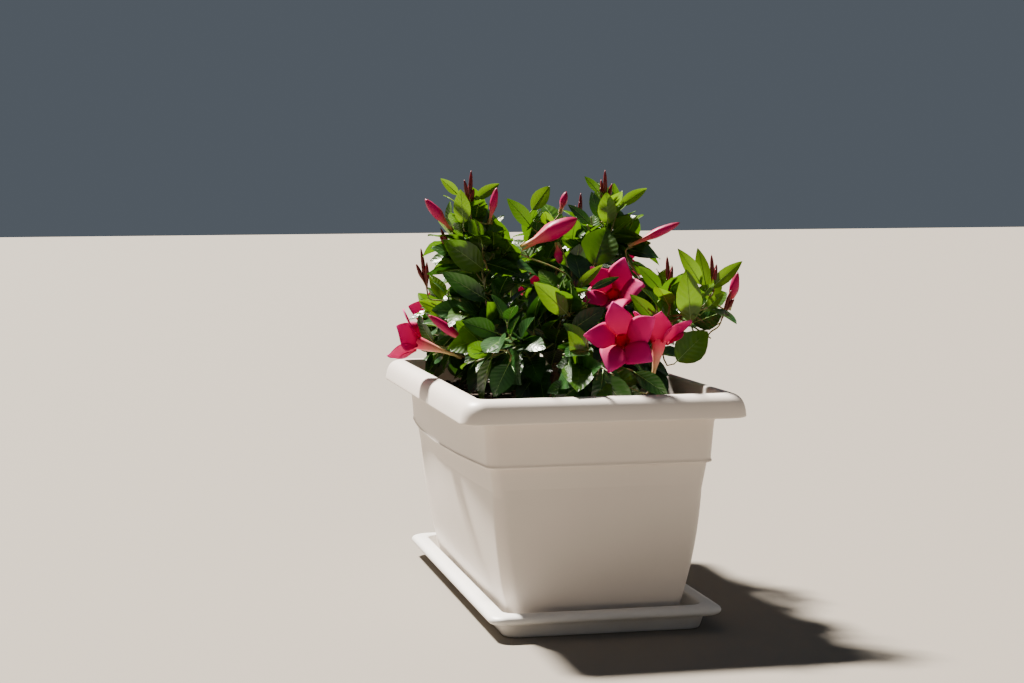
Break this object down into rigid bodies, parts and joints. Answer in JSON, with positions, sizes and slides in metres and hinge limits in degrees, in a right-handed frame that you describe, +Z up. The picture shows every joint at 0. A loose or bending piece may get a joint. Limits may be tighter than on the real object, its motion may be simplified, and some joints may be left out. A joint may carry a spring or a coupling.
{
  "type": "potted plant",
  "caption": "Potted dipladenia: a low flowering patio shrub in a deep white plastic trough on its saucer, standing free on the flat underside.",
  "frame": {"origin": "on the ground, in the plane of the saucer's flat underside, under the middle of the trough", "axes": "+Z up; the trough's narrow front, which the picture shows, faces -Y; its long sides run along Y; +X is to the right seen from the front"},
  "size_m": [0.3508, 0.554, 0.4811],
  "materials": {
    "trough_plastic": "satin moulded off-white plastic, a little weathered",
    "saucer_plastic": "satin moulded off-white plastic",
    "potting_mix": "dark crumbly peat and bark",
    "bark": "thin grey-brown bark",
    "foliage": "glossy leather-like leaves"
  },
  "bodies": {
    "root": {"trough": "trough_plastic", "saucer": "saucer_plastic", "potting_mix": "potting_mix", "stem_1": "bark", "stem_2": "bark", "stem_3": "bark", "stem_4": "bark", "stem_5": "bark", "stem_6": "bark", "bough_top_left": "bark", "bough_top_middle": "bark", "bough_top_right": "bark", "bough_front_right": "bark", "bough_front_middle": "bark", "bough_front_low": "bark", "bough_front_left": "bark", "bough_left_middle": "bark", "bough_left_low": "bark", "bough_right_middle": "bark", "bough_right_low": "bark", "bough_back_left": "bark", "bough_back_right": "bark", "bough_back_middle": "bark", "bough_back_low_left": "bark", "bough_back_low_right": "bark", "leaves_top_left": "foliage", "leaves_top_middle": "foliage", "leaves_top_right": "foliage", "leaves_front_right": "foliage", "leaves_front_middle": "foliage", "leaves_front_low": "foliage", "leaves_front_left": "foliage", "leaves_left_middle": "foliage", "leaves_left_low": "foliage", "leaves_right_middle": "foliage", "leaves_right_low": "foliage", "leaves_back_left": "foliage", "leaves_back_right": "foliage", "leaves_back_middle": "foliage", "leaves_back_low_left": "foliage", "leaves_back_low_right": "foliage"}
  },
  "joints": []
}
